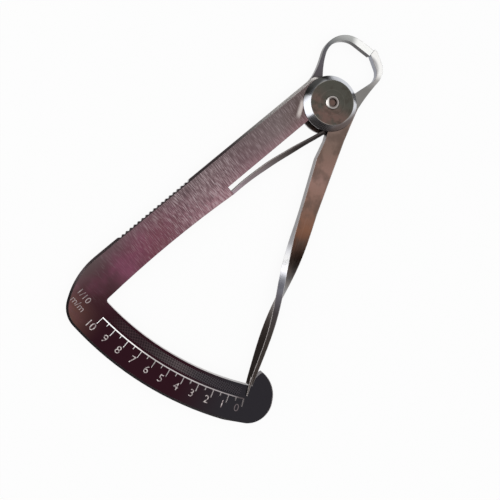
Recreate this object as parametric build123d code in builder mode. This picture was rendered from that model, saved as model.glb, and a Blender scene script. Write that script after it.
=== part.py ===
"""Spring thickness caliper with a graduated arc, in millimetres.

The origin is on the pivot axis at the rear face of the hub, +Z points out of the
graduated face, and the pointer lies along -Y at its zero. The jaws are at +Y.
"""

import os
from math import asin, atan2, cos, degrees, hypot, radians, sin, sqrt

from build123d import *

# Reading: the jaws open ten millimetres while the pointer sweeps the whole scale
full_reading = 10.0
marks_per_mm = 2
jaw_tip_radius = 19.1
jaw_tip_bearing = 23.8
jaw_tip_gap = 0.04

# Thicknesses along the pivot axis
rear_disc_thickness = 1.0
arm_thickness = 3.0
front_disc_thickness = 2.1
jaw_thickness = 2.2
sliding_gap = 0.04

# Hub discs, eyes and rivet
front_disc_radius = 8.0
front_disc_flat_radius = 6.4
front_disc_land = 0.25
rear_disc_radius = 8.5
rear_disc_chamfer = 0.25
eye_radius = 5.3
eye_clearance = 0.3
rivet_radius = 1.6
rivet_running_gap = 0.03
rivet_head_overhang = 0.38
rivet_head_height = 0.4
rivet_dimple_radius = 1.15
rivet_dimple_depth = 0.5
rivet_dimple_taper = 20.0
rivet_foot_flare = 0.5
rivet_foot_taper = 45.0

# Graduated arc and its two ends
scale_inner_radius = 84.2
scale_outer_radius = 95.2
corner_bearing = 35.2
corner_face_length = 11.6
corner_upper_radius = 22.0
corner_lower_radius = 7.5
inner_corner_radius = 0.9
lobe_reach = 8.2
lobe_radius = 6.9
lobe_inset = 0.6
lobe_rise = 1.3
nose_height = 4.9
nose_reach = 3.1
nose_width = 1.8
nose_foot_rise = 0.3
nose_flank_across = 0.6
nose_flank_down = 0.7
lobe_side_lean = 0.08
arc_end_bearing = 2.5

# Engraved lines of the scale, measured outward from the inner edge of the arc
baseline_inset = 3.5
baseline_width = 0.34
line_width = 0.2
line_depth = 0.12
long_line = 2.5
short_line = 1.2

# Scale leg with its slot, tongue and finger grip
leg_outer_offset = 8.97
leg_inner_offset = 0.35
leg_width_at_arc = 11.0
leg_waist = 0.75
leg_cap_rise = 3.2
leg_cap_drop = 1.5
leg_cap_crown = 0.25
leg_bevel = 0.7
slot_width = 1.45
slot_end_distance = 38.4
grip_start = 45.5
grip_pitch = 1.4
grip_teeth = 18
grip_depth = 0.45
grip_relief = 0.05

# Leaf spring, an arc that starts along the leg and leans away from it toward the hub
leaf_thickness = 1.1
leaf_height = 2.4
leaf_root_gap = 0.1
leaf_tip_standoff = 0.27
leaf_lean_angle = 13.0

# Pointer arm, its twisted blade and the reader that lies over the scale
pointer_inner_reach = 0.75
pointer_outer_reach = 7.15
pointer_shoulder_reach = 8.4
pointer_heel_width = 0.95
pointer_heel_distance = 10.4
pointer_heel_slope_length = 5.6
pointer_root_distance = 9.0
pointer_side_bulge = 0.55
pointer_shoulder_height = 1.0
twist_start = 31.5
twist_end = 72.0
twist_angle = 104.0
blade_root_width = 4.75
blade_end_width = 2.0
blade_end_thickness = 1.2
blade_end_reach = 0.3
blade_lift = 0.37
blade_width_power = 5.0
blade_thickness_power = 0.8
blade_reach_power = 1.25
blade_stations = 12
blade_clearance = 0.6
reader_root_width = 0.8
reader_end_width = 0.35
reader_overlap = 2.6
reader_root_length = 2.2
reader_thickness = 0.45
reader_clearance = 0.15
reader_reach = 0.35

# Jaws: each is a bow between a curved outer side and a curved inner side
jaw_land_inner = 19.0
jaw_land_outer = 21.0
left_bow_middle = (1.3, 13.6)
left_bow_radius = 7.45
left_bow_end = 80.0
left_hollow_middle = (0.7, 13.5)
left_hollow_radius = 5.82
left_hollow_end = 70.0
left_root_drop = 0.8
left_root_lean = 0.3
left_root_reach = 3.7
left_root_height = 5.4
right_bow_middle = (7.4, 13.3)
right_bow_radius = 5.5
right_bow_start = -25.0
right_bow_end = 30.0
right_hollow_middle = (8.0, 12.35)
right_hollow_radius = 3.35
right_hollow_spread = 45.0
right_root_inset = 0.14
right_root_reach = 6.1
right_root_height = 4.9
right_land_rise = 0.5
right_tip_width = 0.9
right_root_hollow = 0.3

# Levels and radii worked out from the values above
arm_rear = rear_disc_thickness
arm_face = arm_rear + arm_thickness
arm_body = arm_thickness - sliding_gap
lap_level = arm_rear + arm_thickness / 2
hub_top = arm_face + front_disc_thickness
lap_radius = eye_radius + eye_clearance
baseline_radius = scale_inner_radius + baseline_inset
blade_end_distance = scale_inner_radius - blade_clearance


def on_bearing(radius, bearing):
    """A point at a radius from the pivot, at degrees from -Y toward the scale leg."""
    return (-radius * sin(radians(bearing)), -radius * cos(radians(bearing)))


def bearing_of(reading):
    """Pointer bearing at a reading, from the chord between the opened jaw tips."""
    return degrees(2 * asin(reading / (2 * jaw_tip_radius)))


def at_tip(radius, side):
    """A point on the line where the jaws meet, moved toward the left jaw by side."""
    turn = radians(jaw_tip_bearing)
    return (radius * sin(turn) - side * cos(turn), radius * cos(turn) + side * sin(turn))


def around(middle, radius, angle):
    """A point on a circle, at degrees anticlockwise from +X."""
    return (middle[0] + radius * cos(radians(angle)), middle[1] + radius * sin(radians(angle)))


# The leg's outer line touches a circle about the pivot and ends on the corner face
corner_low = on_bearing(scale_outer_radius, corner_bearing)
corner_high = (corner_low[0], corner_low[1] + corner_face_length)
leg_angle = atan2(-corner_high[0], -corner_high[1]) - asin(leg_outer_offset / hypot(*corner_high))


def on_leg(distance, offset):
    """A point at a distance down the leg and an offset toward its outer edge."""
    return (
        -distance * sin(leg_angle) - offset * cos(leg_angle),
        -distance * cos(leg_angle) + offset * sin(leg_angle),
    )


leg_inner_low = leg_outer_offset - leg_width_at_arc
leg_foot_distance = sqrt(scale_inner_radius**2 - leg_inner_low**2)
leg_middle_distance = (leg_foot_distance + slot_end_distance) / 2
inner_corner = on_leg(leg_foot_distance, leg_inner_low)
slot_outer = leg_inner_offset
slot_inner = slot_outer - slot_width - leaf_thickness
leaf_shoulder = on_leg(slot_end_distance, slot_inner)

# Lobe and zero stop at the end of the arc
lobe_middle = (lobe_reach - lobe_radius, lobe_inset - scale_outer_radius + lobe_radius)
lobe_foot = (lobe_middle[0], lobe_middle[1] - lobe_radius)
lobe_side = (lobe_reach, lobe_middle[1] + lobe_rise)
nose_top = (nose_reach, nose_height - scale_inner_radius)
nose_foot = (nose_reach - nose_width, nose_foot_rise - scale_inner_radius)
nose_flank = (nose_reach - nose_width * nose_flank_across, nose_top[1] - nose_width * nose_flank_down)
arc_end = on_bearing(scale_outer_radius, arc_end_bearing)

# Middle line of the leaf, from its root against the shoulder of the slot to its tip under the hub
leaf_root = on_leg(slot_end_distance - leaf_root_gap - leaf_thickness / 2, slot_inner + leaf_thickness / 2)
leaf_heading = 90 - degrees(leg_angle)
leaf_chord_heading = leaf_heading - leaf_lean_angle / 2
leaf_tip_radius = front_disc_radius + leaf_tip_standoff
leaf_course = (cos(radians(leaf_chord_heading)), sin(radians(leaf_chord_heading)))
leaf_past_pivot = leaf_root[0] * leaf_course[0] + leaf_root[1] * leaf_course[1]
leaf_chord = -leaf_past_pivot - sqrt(leaf_tip_radius**2 - hypot(*leaf_root) ** 2 + leaf_past_pivot**2)
leaf_tip = around(leaf_root, leaf_chord, leaf_chord_heading)

# Scale leg, graduated arc, zero stop and left jaw, forged in one piece
with BuildPart() as scale_arm:
    with BuildSketch(Plane.XY.offset(arm_rear)):
        with BuildLine():
            cap_end = on_leg(-leg_cap_rise, leg_outer_offset - leg_cap_drop)
            Polyline(on_leg(0, slot_outer), on_leg(-leg_cap_rise, slot_outer), cap_end)
            cap_middle = on_leg(-leg_cap_rise / 2, leg_outer_offset - leg_cap_drop * leg_cap_crown)
            ThreePointArc(cap_end, cap_middle, on_leg(0, leg_outer_offset))
            Polyline(on_leg(0, leg_outer_offset), corner_high, corner_low)
            RadiusArc(corner_low, arc_end, -scale_outer_radius)
            Line(arc_end, lobe_foot)
            TangentArc(lobe_foot, lobe_side, tangent=(1, 0))
            TangentArc(lobe_side, nose_top, tangent=(-lobe_side_lean, 1))
            ThreePointArc(nose_top, nose_flank, nose_foot)
            RadiusArc(nose_foot, inner_corner, scale_inner_radius)
            waist = on_leg(leg_middle_distance, leg_inner_low + leg_waist)
            ThreePointArc(inner_corner, waist, leaf_shoulder)
            Polyline(leaf_shoulder, on_leg(slot_end_distance, slot_outer), on_leg(0, slot_outer))
        make_face()
    extrude(amount=arm_body)
    for corner, radius in (
        (corner_high, corner_upper_radius),
        (corner_low, corner_lower_radius),
        (inner_corner, inner_corner_radius),
    ):
        uprights = scale_arm.edges().filter_by(Axis.Z)
        fillet(uprights.sort_by_distance((*corner, lap_level))[0], radius)
    # Bevel along the outer edge of the leg and round its upper end
    beside_leg = scale_arm.faces().sort_by_distance((*on_leg(grip_start / 2, leg_outer_offset), lap_level))[0]
    beside_cap = scale_arm.faces().sort_by_distance((*cap_middle, lap_level))[0]
    chamfer(beside_leg.edges().group_by(Axis.Z)[-1] + beside_cap.edges().group_by(Axis.Z)[-1], leg_bevel)
    # Finger grip: small pointed teeth cut across the outer edge
    with BuildSketch(Plane.XY.offset(arm_rear)):
        with BuildLine():
            crest = leg_outer_offset - grip_relief
            clear_of_leg = leg_outer_offset + grip_depth
            teeth = [on_leg(grip_start, clear_of_leg), on_leg(grip_start, crest)]
            for tooth in range(grip_teeth):
                notch = grip_start + (tooth + 0.5) * grip_pitch
                teeth.append(on_leg(notch, crest - grip_depth))
                teeth.append(on_leg(notch + grip_pitch / 2, crest))
            teeth.append(on_leg(grip_start + grip_teeth * grip_pitch, clear_of_leg))
            Polyline(*teeth, close=True)
        make_face()
    extrude(amount=arm_thickness, mode=Mode.SUBTRACT)
    # Left jaw, thinner than the leg and set below its face
    with BuildSketch(Plane.XY.offset(arm_rear)):
        with BuildLine():
            outer_root = on_leg(left_root_drop, leg_outer_offset)
            outer_neck = around(left_bow_middle, left_bow_radius, 180)
            bow_top = around(left_bow_middle, left_bow_radius, (180 + left_bow_end) / 2)
            bow_end = around(left_bow_middle, left_bow_radius, left_bow_end)
            bow_course = (sin(radians(left_bow_end)), -cos(radians(left_bow_end)))
            land_outer = at_tip(jaw_land_outer, jaw_tip_gap / 2)
            land_inner = at_tip(jaw_land_inner, jaw_tip_gap / 2)
            hollow_end = around(left_hollow_middle, left_hollow_radius, left_hollow_end)
            hollow_top = around(left_hollow_middle, left_hollow_radius, (180 + left_hollow_end) / 2)
            inner_neck = around(left_hollow_middle, left_hollow_radius, 180)
            inner_root = (-left_root_reach, left_root_height)
            Spline(outer_root, outer_neck, tangents=[(sin(leg_angle), cos(leg_angle)), (0, 1)])
            ThreePointArc(outer_neck, bow_top, bow_end)
            TangentArc(bow_end, land_outer, tangent=bow_course)
            Polyline(land_outer, land_inner, hollow_end)
            ThreePointArc(hollow_end, hollow_top, inner_neck)
            Spline(inner_neck, inner_root, tangents=[(0, -1), (left_root_lean, -1)])
            Line(inner_root, outer_root)
        make_face()
    extrude(amount=jaw_thickness)
    # Eye, half as thick as the arm, and the room for the other arm's eye
    with BuildSketch(Plane.XY.offset(arm_rear)):
        Circle(eye_radius)
    extrude(amount=lap_level - arm_rear)
    with BuildSketch(Plane.XY.offset(lap_level - sliding_gap)):
        Circle(lap_radius)
    extrude(amount=arm_thickness, mode=Mode.SUBTRACT)
    with BuildSketch(Plane.XY.offset(arm_rear)):
        Circle(rivet_radius)
    extrude(amount=arm_thickness, mode=Mode.SUBTRACT)
    # Engraved baseline, with a short line at each half millimetre and a long one at each millimetre
    with BuildSketch(Plane.XY.offset(arm_face - sliding_gap)):
        with BuildLine():
            baseline_outer = baseline_radius + baseline_width
            full_bearing = bearing_of(full_reading)
            inner_zero = on_bearing(baseline_radius, 0)
            inner_full = on_bearing(baseline_radius, full_bearing)
            outer_full = on_bearing(baseline_outer, full_bearing)
            outer_zero = on_bearing(baseline_outer, 0)
            RadiusArc(inner_zero, inner_full, baseline_radius)
            Line(inner_full, outer_full)
            RadiusArc(outer_full, outer_zero, -baseline_outer)
            Line(outer_zero, inner_zero)
        make_face()
        for mark in range(int(full_reading) * marks_per_mm + 1):
            bearing = bearing_of(mark / marks_per_mm)
            length = long_line if mark % marks_per_mm == 0 else short_line
            middle = on_bearing(baseline_radius + length / 2, bearing)
            with Locations(Location((*middle, 0), -bearing)):
                Rectangle(line_width, length)
    extrude(amount=-line_depth, mode=Mode.SUBTRACT)


def blade_section(distance):
    """Centre reach, centre level, width, thickness and twist of the blade at a distance from the pivot."""
    share = (distance - twist_start) / (blade_end_distance - twist_start)
    width = blade_root_width + (blade_end_width - blade_root_width) * share**blade_width_power
    thickness = arm_body + (blade_end_thickness - arm_body) * share**blade_thickness_power
    root_reach = pointer_inner_reach + blade_root_width / 2
    reach = root_reach + (blade_end_reach - root_reach) * share**blade_reach_power
    level = arm_face - arm_body / 2 + blade_lift * (blade_root_width - width)
    turned = min(1.0, (distance - twist_start) / (twist_end - twist_start))
    twist = twist_angle * turned**2 * (3 - 2 * turned)
    return reach, level, width, thickness, twist


# Pointer arm: right jaw, eye, leg, and a blade twisted on edge that reads the scale
with BuildPart() as pointer_arm:
    with BuildSketch(Plane.XY.offset(arm_face - arm_body)):
        with BuildLine():
            heel_reach = pointer_inner_reach + pointer_heel_width
            heel_slope_end = -pointer_heel_distance - pointer_heel_slope_length
            blade_root_outer = (pointer_inner_reach + blade_root_width, -twist_start)
            hub_side = (pointer_outer_reach, -pointer_root_distance)
            shoulder = (pointer_shoulder_reach, pointer_shoulder_height)
            inner_shoulder = (heel_reach, right_root_height - eye_clearance)
            Polyline(
                inner_shoulder,
                (heel_reach, -pointer_heel_distance),
                (pointer_inner_reach, heel_slope_end),
                (pointer_inner_reach, -twist_start),
                blade_root_outer,
                hub_side,
            )
            hub_side_middle = (pointer_outer_reach + pointer_side_bulge, -pointer_root_distance / 2)
            ThreePointArc(hub_side, hub_side_middle, shoulder)
            Line(shoulder, inner_shoulder)
        make_face()
    extrude(amount=arm_body)
    # Right jaw, set below the face like the left one
    with BuildSketch(Plane.XY.offset(arm_face - arm_body)):
        with BuildLine():
            outer_root = (pointer_shoulder_reach - right_root_inset, 0)
            bow_start = around(right_bow_middle, right_bow_radius, right_bow_start)
            bow_end = around(right_bow_middle, right_bow_radius, right_bow_end)
            tip_outer = at_tip(jaw_land_outer + right_land_rise, -jaw_tip_gap / 2 - right_tip_width)
            land_outer = at_tip(jaw_land_outer + right_land_rise, -jaw_tip_gap / 2)
            land_inner = at_tip(jaw_land_inner + right_land_rise, -jaw_tip_gap / 2)
            hollow_end = around(right_hollow_middle, right_hollow_radius, right_hollow_spread)
            hollow_start = around(right_hollow_middle, right_hollow_radius, -right_hollow_spread)
            inner_root = (right_root_reach, right_root_height)
            root_middle = ((outer_root[0] + bow_start[0]) / 2, (outer_root[1] + bow_start[1]) / 2)
            root_hollow = (root_middle[0] - right_root_hollow, root_middle[1])
            ThreePointArc(outer_root, root_hollow, bow_start)
            ThreePointArc(bow_start, around(right_bow_middle, right_bow_radius, 0), bow_end)
            Polyline(bow_end, tip_outer, land_outer, land_inner, hollow_end)
            ThreePointArc(hollow_end, around(right_hollow_middle, right_hollow_radius, 0), hollow_start)
            Polyline(hollow_start, inner_root, (heel_reach, 0), outer_root)
        make_face()
    extrude(amount=jaw_thickness)
    # Blade, lofted through sections that turn about its own length
    for station in range(blade_stations + 1):
        distance = twist_start + (blade_end_distance - twist_start) * station / blade_stations
        reach, level, width, thickness, twist = blade_section(distance)
        across = (cos(radians(twist)), 0, -sin(radians(twist)))
        with BuildSketch(Plane(origin=(reach, -distance, level), x_dir=across, z_dir=(0, -1, 0))):
            Rectangle(width, thickness)
    loft()
    # Reader, a thin point from the top edge of the blade over the face of the scale
    with BuildSketch(Plane.XY.offset(arm_face + reader_clearance)):
        with BuildLine():
            reader_start = -blade_end_distance + reader_root_length
            reader_end = -scale_inner_radius - reader_overlap
            Polyline(
                (reader_reach - reader_root_width / 2, reader_start),
                (reader_reach - reader_end_width / 2, reader_end),
                (reader_reach + reader_end_width / 2, reader_end),
                (reader_reach + reader_root_width / 2, reader_start),
                close=True,
            )
        make_face()
    extrude(amount=reader_thickness)
    # Eye, the room for the other arm's eye, and the hole for the rivet
    with BuildSketch(Plane.XY.offset(lap_level)):
        Circle(eye_radius)
    extrude(amount=arm_face - lap_level)
    with BuildSketch(Plane.XY.offset(lap_level)):
        Circle(lap_radius)
    extrude(amount=-arm_thickness, mode=Mode.SUBTRACT)
    with BuildSketch(Plane.XY.offset(arm_face)):
        Circle(rivet_radius + rivet_running_gap)
    extrude(amount=-arm_thickness, mode=Mode.SUBTRACT)

# Front disc with a broad polished bevel, turning with the pointer arm
with BuildPart() as front_disc:
    with BuildSketch(Plane.XY.offset(arm_face)):
        Circle(front_disc_radius)
        Circle(rivet_radius + rivet_running_gap, mode=Mode.SUBTRACT)
    extrude(amount=front_disc_thickness)
    rim = front_disc.edges().filter_by(GeomType.CIRCLE).group_by(Axis.Z)[-1].sort_by(SortBy.RADIUS)[-1]
    chamfer(rim, front_disc_thickness - front_disc_land, front_disc_radius - front_disc_flat_radius)

# Rear disc, fixed to the scale arm and countersunk for the foot of the rivet
with BuildPart() as rear_disc:
    with BuildSketch(Plane.XY):
        Circle(rear_disc_radius)
        Circle(rivet_radius, mode=Mode.SUBTRACT)
    extrude(amount=rear_disc_thickness)
    rear_edges = rear_disc.edges().filter_by(GeomType.CIRCLE).group_by(Axis.Z)[0].sort_by(SortBy.RADIUS)
    chamfer(rear_edges[-1], rear_disc_chamfer)
    chamfer(rear_edges[0], rivet_foot_flare)

# Pivot rivet with a dimpled head at the front and a flush foot at the rear
with BuildPart() as pivot_rivet:
    with BuildSketch(Plane.XY):
        Circle(rivet_radius)
    extrude(amount=hub_top + sliding_gap)
    with BuildSketch(Plane.XY.offset(hub_top + sliding_gap)):
        Circle(rivet_radius + rivet_head_overhang)
    extrude(amount=rivet_head_height)
    chamfer(pivot_rivet.edges().group_by(Axis.Z)[-1], rivet_head_height / 2)
    with BuildSketch(Plane.XY):
        Circle(rivet_radius + rivet_foot_flare)
    extrude(amount=rivet_foot_flare, taper=rivet_foot_taper)
    with BuildSketch(Plane.XY.offset(hub_top + sliding_gap + rivet_head_height)):
        Circle(rivet_dimple_radius)
    extrude(amount=-rivet_dimple_depth, taper=rivet_dimple_taper, mode=Mode.SUBTRACT)

# Leaf spring, standing on edge beside the slot, with rounded ends
with BuildPart() as leaf_spring:
    with BuildSketch(Plane.XY.offset(arm_rear + (arm_thickness - leaf_height) / 2)):
        with BuildLine() as leaf_line:
            TangentArc(leaf_root, leaf_tip, tangent=(sin(leg_angle), cos(leg_angle)))
        SlotArc(leaf_line.edges()[0], leaf_thickness)
    extrude(amount=leaf_height)

scale_arm.part.label = "scale_arm"
pointer_arm.part.label = "pointer_arm"
front_disc.part.label = "front_disc"
rear_disc.part.label = "rear_disc"
pivot_rivet.part.label = "pivot_rivet"
leaf_spring.part.label = "leaf_spring"

os.makedirs("parts", exist_ok=True)
export_step(scale_arm.part, "parts/scale_arm.step")
export_step(pointer_arm.part, "parts/pointer_arm.step")
export_step(front_disc.part, "parts/front_disc.step")
export_step(rear_disc.part, "parts/rear_disc.step")
export_step(pivot_rivet.part, "parts/pivot_rivet.step")
export_step(leaf_spring.part, "parts/leaf_spring.step")
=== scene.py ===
"""Looks of a spring thickness caliper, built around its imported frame.

Lengths in the classes are millimetres in the frame of the solids: the origin is on
the pivot axis, +Z leaves the graduated face and the pointer lies along -Y at zero.
Bearings are degrees from -Y toward the scale leg.
"""

from __future__ import annotations

import logging
import math
from dataclasses import dataclass
from typing import Any

import bmesh
import bpy
from mathutils import Matrix, Vector

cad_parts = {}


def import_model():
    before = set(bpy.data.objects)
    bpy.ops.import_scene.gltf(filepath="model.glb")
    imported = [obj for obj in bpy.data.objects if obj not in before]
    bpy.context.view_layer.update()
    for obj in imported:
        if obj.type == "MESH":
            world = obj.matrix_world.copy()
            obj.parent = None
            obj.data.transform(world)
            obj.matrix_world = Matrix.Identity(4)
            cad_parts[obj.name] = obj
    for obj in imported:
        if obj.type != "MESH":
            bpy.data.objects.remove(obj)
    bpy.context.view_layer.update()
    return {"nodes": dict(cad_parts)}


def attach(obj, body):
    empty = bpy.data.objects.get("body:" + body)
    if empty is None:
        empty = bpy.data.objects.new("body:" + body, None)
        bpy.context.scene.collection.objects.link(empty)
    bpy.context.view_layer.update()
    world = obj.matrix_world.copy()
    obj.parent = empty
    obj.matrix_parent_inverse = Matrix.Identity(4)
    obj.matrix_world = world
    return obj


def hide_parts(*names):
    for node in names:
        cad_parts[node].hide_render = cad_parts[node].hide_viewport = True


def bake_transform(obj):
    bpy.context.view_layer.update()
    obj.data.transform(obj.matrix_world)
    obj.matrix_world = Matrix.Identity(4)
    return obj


LOG = logging.getLogger("caliper")
METRES = 0.001
BEVEL_SAMPLES = 6
# Upward part of the normal on a flat face
FLAT_LIMITS = (0.9, 0.97)
# How well the softened normal agrees with the face at an edge painted bright as wear and as a painted
# highlight, and with a side at a margin
BRIGHT_EDGE_LIMITS = (0.985, 0.8)
MARGIN_LIMITS = (0.2, 0.5)
# Levels above the jaws' faces, which lie at 3.2 mm
JAW_LEVELS = (3.3, 3.22)

Place = tuple[float, float, float]
# Where a soft edge is 0 and 1, and where a band starts, is full, starts to fade and ends
Limits = tuple[float, float]
Band = tuple[float, float, float, float]
# Width of a patch of noise, and a shift that makes one cloud differ from another
Cloud = tuple[float, float]
# Place and tone of each stop on a ramp, and words, bearing and radius of each row of figures
Stops = tuple[tuple[float, str], ...]
Rows = tuple[tuple[str, float, float], ...]


def linear(tone: str) -> tuple[float, float, float, float]:
    """Turns an sRGB hex tone into a linear colour.

    Args:
        tone: Six hex digits after a hash sign.

    Returns:
        Red, green, blue and alpha, from 0 to 1.
    """
    parts = [int(tone[i : i + 2], 16) / 255 for i in (1, 3, 5)]
    red, green, blue = (p / 12.92 if p <= 0.04045 else ((p + 0.055) / 1.055) ** 2.4 for p in parts)
    return red, green, blue, 1.0


def add_node(
    tree: bpy.types.NodeTree,
    kind: str,
    settings: dict[str, Any] | None = None,
    inputs: dict[str | int, Any] | None = None,
) -> bpy.types.Node:
    """Adds one node with its settings, its values and its links.

    Args:
        tree: The node tree that takes the node.
        kind: Blender's name of the node type, without ShaderNode.
        settings: Properties of the node itself.
        inputs: A value for each input, or the socket that it is linked to.

    Returns:
        The new node.
    """
    node = tree.nodes.new("ShaderNode" + kind)
    for name, value in (settings or {}).items():
        setattr(node, name, value)
    for name, value in (inputs or {}).items():
        if isinstance(value, bpy.types.NodeSocket):
            tree.links.new(value, node.inputs[name])
        else:
            node.inputs[name].default_value = value
    return node


@dataclass(frozen=True)
class Coat:
    """Tone laid over another: none at the value's first limit, and the full share at its second."""

    tone: str
    limits: Limits
    share: float = 1.0


class Skin:
    """Sockets that say where on the object a shaded point lies, and what is drawn from them."""

    def __init__(self, tree: bpy.types.NodeTree) -> None:
        """Builds the measuring nodes from the object's own coordinates.

        Args:
            tree: The material's node tree.
        """
        self.tree = tree
        place = add_node(tree, "TexCoord")
        self.point = self.vectors("MULTIPLY", place.outputs["Object"], (1 / METRES,) * 3)[0]
        self.across, self.along, self.level = self.parts(self.point)
        back = self.vectors("MULTIPLY", self.point, (-1, -1, 0))[0]
        self.radius = self.vectors("LENGTH", back)["Value"]
        self.bearing = self.number("DEGREES", self.number("ARCTAN2", *self.parts(back)[:2]))
        self.normal = place.outputs["Normal"]
        self.upward = self.parts(self.normal)[2]

    def number(self, operation: str, *values: Any) -> Any:
        """Calculates with numbers or their sockets, by Blender's name of the operation."""
        return add_node(self.tree, "Math", {"operation": operation}, dict(enumerate(values))).outputs[0]

    def vectors(self, operation: str, *values: Any) -> Any:
        """Calculates with vectors: output 0 is the vector and output Value the number."""
        return add_node(self.tree, "VectorMath", {"operation": operation}, dict(enumerate(values))).outputs

    def parts(self, vector: Any) -> Any:
        """Splits a vector's socket into the sockets of its three parts."""
        return add_node(self.tree, "SeparateXYZ", {}, {0: vector}).outputs

    def mask(self, value: Any, limits: Limits) -> Any:
        """Masks a value softly: 0 at the first limit and 1 at the second, which may be the lower."""
        inputs = {"Value": value, "From Min": limits[0], "From Max": limits[1]}
        return add_node(self.tree, "MapRange", {"interpolation_type": "SMOOTHSTEP"}, inputs).outputs[0]

    def band(self, value: Any, limits: Band) -> Any:
        """Masks what lies between two soft edges."""
        return self.meet(self.mask(value, limits[:2]), self.mask(value, limits[:1:-1]))

    def on_jaw(self, end: Limits, flat: Any) -> Any:
        """Masks a jaw's lowered face, up to the distance from the pivot where the jaw ends."""
        return self.meet(self.mask(self.level, JAW_LEVELS), self.mask(self.radius, end), flat)

    def measure(self, value: Any, direction: Place) -> Any:
        """Measures a place or a normal along a direction, whose length scales the result."""
        return self.vectors("DOT_PRODUCT", value, direction)["Value"]

    def softened(self, rounding: float) -> Any:
        """Finds the normal as if every edge were rounded by a radius."""
        inputs = {"Radius": rounding * METRES}
        return add_node(self.tree, "Bevel", {"samples": BEVEL_SAMPLES}, inputs).outputs[0]

    def at_edges(self, width: float) -> Any:
        """Measures how flat a face is within a width, which is below BRIGHT_EDGE_LIMITS at its edges."""
        sharp = add_node(self.tree, "NewGeometry").outputs["True Normal"]
        return self.measure(self.softened(width), sharp)

    def toward(self, width: float, direction: Place) -> Any:
        """Measures how far the edges within a width look one way, for MARGIN_LIMITS."""
        return self.measure(self.softened(width), direction)

    def either(self, first: Any, second: Any) -> Any:
        """Keeps the stronger of two masks."""
        return self.number("MAXIMUM", first, second)

    def meet(self, first: Any, *others: Any) -> Any:
        """Keeps only what all the masks share.

        Args:
            first: The first mask.
            others: The other masks, and plain numbers that scale them.

        Returns:
            The product's socket.
        """
        for other in others:
            first = self.number("MULTIPLY", first, other)
        return first

    def blend(self, share: Any, under: Any, over: Any) -> Any:
        """Lays one tone or socket over another, where the mask is 1."""
        under, over = (linear(colour) if isinstance(colour, str) else colour for colour in (under, over))
        return add_node(self.tree, "Mix", {"data_type": "RGBA"}, {0: share, 6: under, 7: over}).outputs[2]

    def coat(self, under: Any, coat: Coat, value: Any, *masks: Any) -> Any:
        """Lays a coat over a tone or socket, by the value that its limits measure, thinned by masks."""
        return self.blend(self.meet(self.mask(value, coat.limits), coat.share, *masks), under, coat.tone)

    def between(self, share: Any, low: Any, high: Any) -> Any:
        """Goes from one number or socket to another with a mask."""
        return add_node(self.tree, "Mix", {"data_type": "FLOAT"}, {0: share, 2: low, 3: high}).outputs[0]

    def grain(self, along: Place, pitch: float, run: float, detail: float = 2.0) -> Any:
        """Draws straight grinding lines that follow one direction.

        Args:
            along: Unit direction that the lines follow.
            pitch: Spacing of the lines.
            run: Length of a line.
            detail: Finer layers in the noise.

        Returns:
            A socket from 0 to 1.
        """
        lengthwise = self.measure(self.point, (along[0] / run, along[1] / run, 0))
        sideways = self.measure(self.point, (-along[1] / pitch, along[0] / pitch, 0))
        upward = self.measure(self.point, (0, 0, 1 / pitch))
        sheet = add_node(self.tree, "CombineXYZ", {}, {0: lengthwise, 1: sideways, 2: upward})
        return self.noise(sheet.outputs[0], detail=detail, roughness=0.6)

    def clouds(self, cloud: Cloud) -> Any:
        """Draws soft patches from 0 to 1, such as marks of use."""
        moved = self.vectors("ADD", self.point, cloud[1:] * 3)[0]
        return self.noise(moved, 1 / cloud[0], detail=3.0, roughness=0.55)

    def noise(self, place: Any, scale: float = 1.0, detail: float = 2.0, roughness: float = 0.5) -> Any:
        """Draws plain noise from 0 to 1, read at a place."""
        inputs = {"Vector": place, "Scale": scale, "Detail": detail, "Roughness": roughness}
        return add_node(self.tree, "TexNoise", {}, inputs).outputs[0]

    def ramp(self, value: Any, reach: float, stops: Stops) -> Any:
        """Colours a measured value by stops along its range.

        Args:
            value: The socket that is measured.
            reach: Value at the ramp's end, which starts at zero.
            stops: Value and tone of each stop, in order.

        Returns:
            The colour's socket.
        """
        share = add_node(self.tree, "MapRange", {}, {"Value": value, "From Min": 0.0, "From Max": reach})
        node = add_node(self.tree, "ValToRGB", {}, {0: share.outputs[0]})
        marks = node.color_ramp.elements
        while len(marks) < len(stops):
            marks.new(0.5)
        for mark, (place, tone) in zip(marks, stops):
            mark.position = place / reach
            mark.color = linear(tone)
        return node.outputs[0]

    def relief(self, height: Any, depth: float, rounding: float = 0.0) -> Any:
        """Turns a pattern into a bumped normal.

        Args:
            height: The pattern's socket, from 0 to 1.
            depth: Depth of the pattern.
            rounding: Radius that the light sees on each edge.

        Returns:
            The normal's socket.
        """
        inputs = {"Height": height, "Distance": depth * METRES}
        if rounding:
            inputs["Normal"] = self.softened(rounding)
        return add_node(self.tree, "Bump", {}, inputs).outputs[0]

    def shade(self, colour: Any, roughness: Any, normal: Any, glancing: Any = None) -> None:
        """Joins colour, roughness and normal to a shader of bare metal and to the output.

        Args:
            colour: The base colour's socket.
            roughness: The roughness socket.
            normal: The normal's socket.
            glancing: Socket of the tint of glancing reflections, none for white.
        """
        inputs = {"Base Color": colour, "Roughness": roughness, "Normal": normal, "Metallic": 1.0}
        if glancing is not None:
            inputs["Specular Tint"] = glancing
        shader = add_node(self.tree, "BsdfPrincipled", {}, inputs)
        add_node(self.tree, "OutputMaterial", {}, {0: shader.outputs[0]})


@dataclass(frozen=True)
class Finish:
    """What every finish has: a name, and a pattern that it paints."""

    name: str

    def material(self) -> bpy.types.Material:
        """Builds the finish.

        Returns:
            The material.
        """
        material = bpy.data.materials.new(self.name)
        material.use_nodes = True
        material.node_tree.nodes.clear()
        self.paint(Skin(material.node_tree))
        return material

    def paint(self, skin: Skin) -> None:
        """Paints the pattern and joins it to a shader.

        Args:
            skin: The sockets to paint with.
        """
        raise NotImplementedError
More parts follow.
